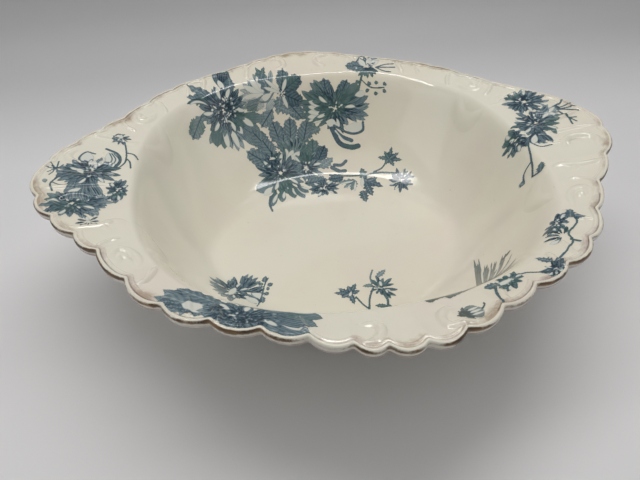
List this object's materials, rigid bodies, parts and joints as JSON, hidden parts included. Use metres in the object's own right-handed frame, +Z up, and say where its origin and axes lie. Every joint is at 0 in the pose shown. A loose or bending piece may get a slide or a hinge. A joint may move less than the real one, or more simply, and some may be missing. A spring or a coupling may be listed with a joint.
{
  "type": "serving bowl",
  "caption": "Oval open serving bowl in glazed porcelain with pointed ends, a broad scalloped flange, raised scrolls, a gilded edge and blue floral prints.",
  "frame": {"origin": "on the table, under the middle of the bowl", "axes": "+X along the bowl's length to one pointed end, +Y across it to the far side corner, +Z up"},
  "size_m": [0.2542, 0.2236, 0.0649],
  "materials": {
    "porcelain": "gloss, aged cream",
    "foot_porcelain": "gloss, worn bare on the base",
    "relief_porcelain": "gloss",
    "gilding": "worn gilding",
    "print_blue": "slate blue print under the glaze",
    "print_grey": "pale grey-blue print under the glaze"
  },
  "bodies": {
    "root": {"bowl_body": "porcelain", "foot_ring": "foot_porcelain", "rim_gilding": "gilding", "rim_thread": "relief_porcelain", "end_shell_left": "relief_porcelain", "end_shell_right": "relief_porcelain", "side_shell_near": "relief_porcelain", "side_shell_far": "relief_porcelain", "rosette_near_right": "relief_porcelain", "rosette_near_left": "relief_porcelain", "rosette_far_right": "relief_porcelain", "rosette_far_left": "relief_porcelain", "wall_scroll_near_right": "relief_porcelain", "wall_scroll_near_left": "relief_porcelain", "wall_scroll_far_right": "relief_porcelain", "wall_scroll_far_left": "relief_porcelain", "print_main_bloom": "print_blue", "print_star_leaf": "print_blue", "print_curled_bloom": "print_blue", "print_low_bloom": "print_blue", "print_branch": "print_blue", "print_top_sprig": "print_blue", "print_far_right_spray": "print_blue", "print_right_rim_spray": "print_blue", "print_grass": "print_grey", "print_round_bud": "print_blue", "print_floor_sprig": "print_blue", "print_near_rim_bloom": "print_blue", "print_near_wall_bloom": "print_blue", "print_left_spray": "print_blue"}
  },
  "joints": []
}
